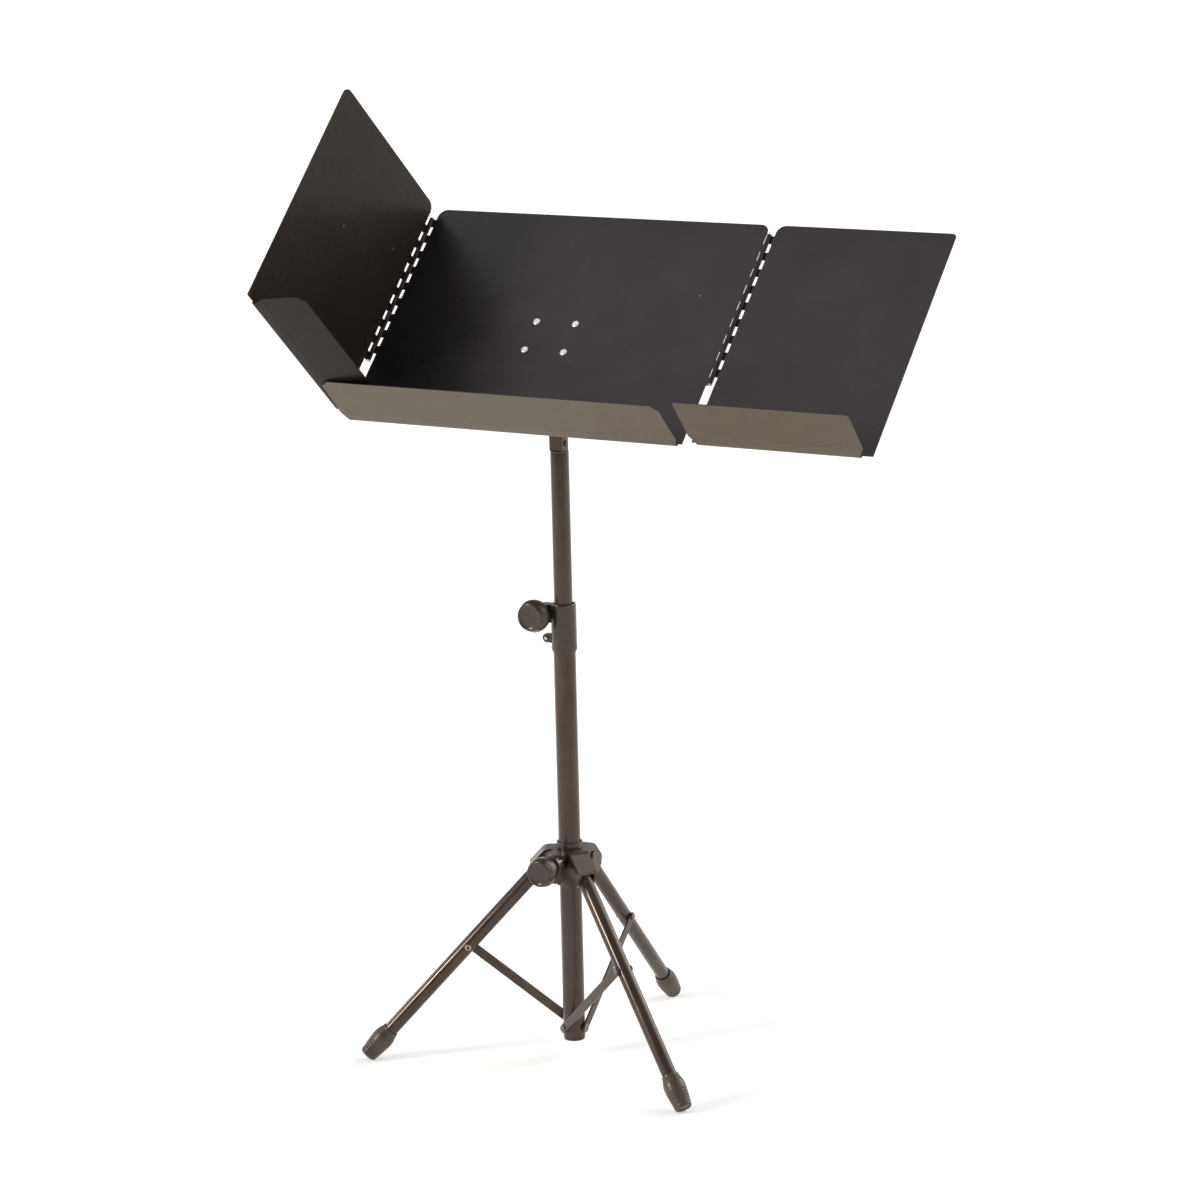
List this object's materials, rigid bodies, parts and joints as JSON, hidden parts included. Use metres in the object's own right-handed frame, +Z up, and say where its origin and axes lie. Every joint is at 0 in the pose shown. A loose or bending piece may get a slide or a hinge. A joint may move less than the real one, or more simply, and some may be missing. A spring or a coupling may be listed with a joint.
{
  "type": "music stand",
  "caption": "Folding sheet-music stand: three-panel steel desk with hinged wings and lips, tilting on a telescopic mast over a sliding-hub tripod.",
  "frame": {"origin": "middle of the overall box, on the floor; the mast stands at x = -0.0997, y = 0.0055", "axes": "+Z up along the mast, -Y out of the front of the desk, +X towards the right wing"},
  "size_m": [0.6438, 0.4818, 1.0595],
  "materials": {
    "panel_paint": "satin black enamel",
    "tube_paint": "satin black-brown enamel",
    "bright_steel": "zinc plated",
    "knob_plastic": "moulded black",
    "foot_rubber": "matt black"
  },
  "bodies": {
    "column": {"lower_tube": "tube_paint", "bottom_cap": "knob_plastic", "clutch_collar": "knob_plastic", "clutch_bush": "knob_plastic", "clutch_screw": "bright_steel", "clutch_pin": "bright_steel", "left_column_rivet": "bright_steel", "right_column_rivet": "bright_steel", "back_column_rivet": "bright_steel"},
    "clutch_knob": {"clutch_knob": "knob_plastic"},
    "glide": {"glide_plug": "knob_plastic"},
    "mast": {"upper_tube": "tube_paint", "neck_ferrule": "knob_plastic", "tilt_neck": "tube_paint", "neck_rivet": "bright_steel", "left_tilt_washer": "bright_steel", "right_tilt_washer": "bright_steel", "tilt_bolt": "bright_steel"},
    "tilt_knob": {"tilt_knob": "knob_plastic"},
    "desk": {"centre_panel": "panel_paint", "desk_bracket": "bright_steel", "desk_rivet_1": "bright_steel", "desk_rivet_2": "bright_steel", "desk_rivet_3": "bright_steel", "desk_rivet_4": "bright_steel", "left_hinge_pin": "bright_steel", "right_hinge_pin": "bright_steel"},
    "left_wing": {"left_wing": "panel_paint"},
    "right_wing": {"right_wing": "panel_paint"},
    "hub": {"hub": "tube_paint", "hub_bush": "knob_plastic", "hub_screw": "bright_steel", "left_leg_pin": "bright_steel", "right_leg_pin": "bright_steel", "back_leg_pin": "bright_steel"},
    "hub_knob": {"hub_knob": "knob_plastic"},
    "left_leg": {"left_leg": "tube_paint", "left_foot": "foot_rubber", "left_leg_rivet": "bright_steel"},
    "left_brace": {"left_brace": "tube_paint", "left_brace_rivet": "bright_steel"},
    "right_leg": {"right_leg": "tube_paint", "right_foot": "foot_rubber", "right_leg_rivet": "bright_steel"},
    "right_brace": {"right_brace": "tube_paint", "right_brace_rivet": "bright_steel"},
    "back_leg": {"back_leg": "tube_paint", "back_foot": "foot_rubber", "back_leg_rivet": "bright_steel"},
    "back_brace": {"back_brace": "tube_paint", "back_brace_rivet": "bright_steel"}
  },
  "joints": [
    {"name": "clutch_knob_turn", "type": "hinge", "parent": "column", "child": "clutch_knob", "pos_m": [-0.12365, 0.00552, 0.498], "axis": [0, -1, 0], "range_deg": [0, 360]},
    {"name": "height_slide", "type": "slide", "parent": "column", "child": "glide", "axis": [0, 0, 1], "range_m": [-0.155, 0.2]},
    {"name": "mast_swivel", "type": "hinge", "parent": "glide", "child": "mast", "pos_m": [-0.09965, 0.00552, 0.231], "axis": [0, 0, 1], "continuous": true},
    {"name": "tilt_knob_turn", "type": "hinge", "parent": "mast", "child": "tilt_knob", "pos_m": [-0.09965, 0.00552, 0.782], "axis": [1, 0, 0], "range_deg": [0, 360]},
    {"name": "desk_tilt", "type": "hinge", "parent": "mast", "child": "desk", "pos_m": [-0.09965, 0.00552, 0.782], "axis": [-1, 0, 0], "range_deg": [-44.5, 40]},
    {"name": "left_wing_hinge", "type": "hinge", "parent": "desk", "child": "left_wing", "pos_m": [-0.31015, -0.01124, 0.79847], "axis": [0, 0.7009, 0.7133], "range_deg": [-87.5, 2.5]},
    {"name": "right_wing_hinge", "type": "hinge", "parent": "desk", "child": "right_wing", "pos_m": [0.11085, -0.01124, 0.79847], "axis": [0, -0.7009, -0.7133], "range_deg": [0, 90]},
    {"name": "hub_slide", "type": "slide", "parent": "column", "child": "hub", "axis": [0, 0, 1], "range_m": [0, 0.0855]},
    {"name": "hub_knob_turn", "type": "hinge", "parent": "hub", "child": "hub_knob", "pos_m": [-0.09965, 0.00552, 0.224], "axis": [0, -1, 0], "range_deg": [0, 360]},
    {"name": "left_leg_pivot", "type": "hinge", "parent": "hub", "child": "left_leg", "pos_m": [-0.12225, -0.00363, 0.2241], "axis": [0.5329, -0.8462, 0], "range_deg": [0, 40.3]},
    {"name": "left_brace_pivot", "type": "hinge", "parent": "column", "child": "left_brace", "pos_m": [-0.1069, 0.01703, 0.032], "axis": [-0.5329, 0.8462, 0], "range_deg": [0, 38.3]},
    {"name": "right_leg_pivot", "type": "hinge", "parent": "hub", "child": "right_leg", "pos_m": [-0.08043, -0.00948, 0.2241], "axis": [0.4664, 0.8846, 0], "range_deg": [0, 40.3]},
    {"name": "right_brace_pivot", "type": "hinge", "parent": "column", "child": "right_brace", "pos_m": [-0.10599, -0.00651, 0.032], "axis": [-0.4664, -0.8846, 0], "range_deg": [0, 38.3]},
    {"name": "back_leg_pivot", "type": "hinge", "parent": "hub", "child": "back_leg", "pos_m": [-0.09627, 0.02967, 0.2241], "axis": [-0.9993, -0.0384, 0], "range_deg": [0, 40.3]},
    {"name": "back_brace_pivot", "type": "hinge", "parent": "column", "child": "back_brace", "pos_m": [-0.08606, 0.00604, 0.032], "axis": [0.9993, 0.0384, 0], "range_deg": [0, 38.3]}
  ],
  "couplings": [
    {"joint": "left_leg_pivot", "follows": "hub_slide", "rad_per_m": 8.1845},
    {"joint": "left_brace_pivot", "follows": "hub_slide", "rad_per_m": 7.7686},
    {"joint": "right_leg_pivot", "follows": "hub_slide", "rad_per_m": 8.1845},
    {"joint": "right_brace_pivot", "follows": "hub_slide", "rad_per_m": 7.7686},
    {"joint": "back_leg_pivot", "follows": "hub_slide", "rad_per_m": 8.1845},
    {"joint": "back_brace_pivot", "follows": "hub_slide", "rad_per_m": 7.7686}
  ]
}
